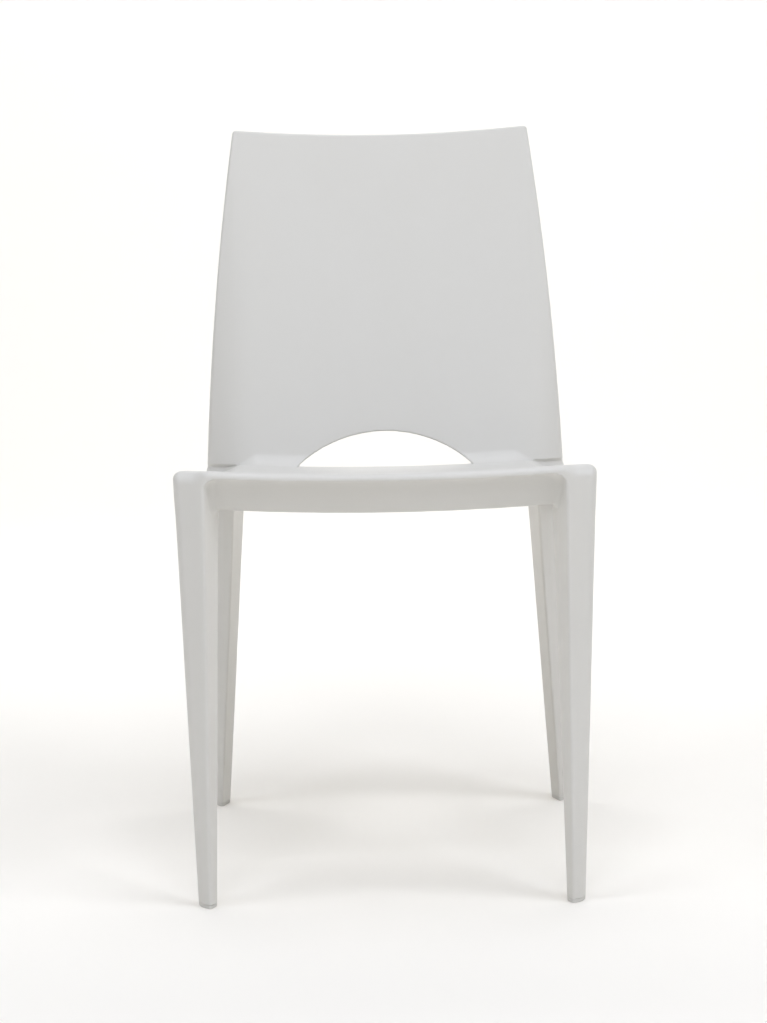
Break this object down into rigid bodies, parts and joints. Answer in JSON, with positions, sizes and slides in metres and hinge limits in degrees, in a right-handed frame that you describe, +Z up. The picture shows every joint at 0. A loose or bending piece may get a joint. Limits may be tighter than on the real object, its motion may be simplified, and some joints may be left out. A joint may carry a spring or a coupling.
{
  "type": "stacking chair",
  "caption": "One-piece moulded stacking chair: sloped seat with folded-down aprons, tall curved back with a half-moon opening, tapered ridged legs on push-in glides.",
  "frame": {"origin": "on the floor, under the middle of the chair's overall width and depth", "axes": "+Z up, +X across the chair to the right as seen from the front, -Y towards the front edge of the seat; the chair is mirror-symmetric about the YZ plane"},
  "size_m": [0.45, 0.5166, 0.845],
  "materials": {
    "shell_plastic": "satin, very fine moulded texture, white glass-filled polypropylene",
    "glide_plastic": "matte, slightly translucent off-white polyamide"
  },
  "bodies": {
    "root": {"shell": "shell_plastic", "glide_front_left": "glide_plastic", "glide_front_right": "glide_plastic", "glide_rear_left": "glide_plastic", "glide_rear_right": "glide_plastic"}
  },
  "joints": []
}
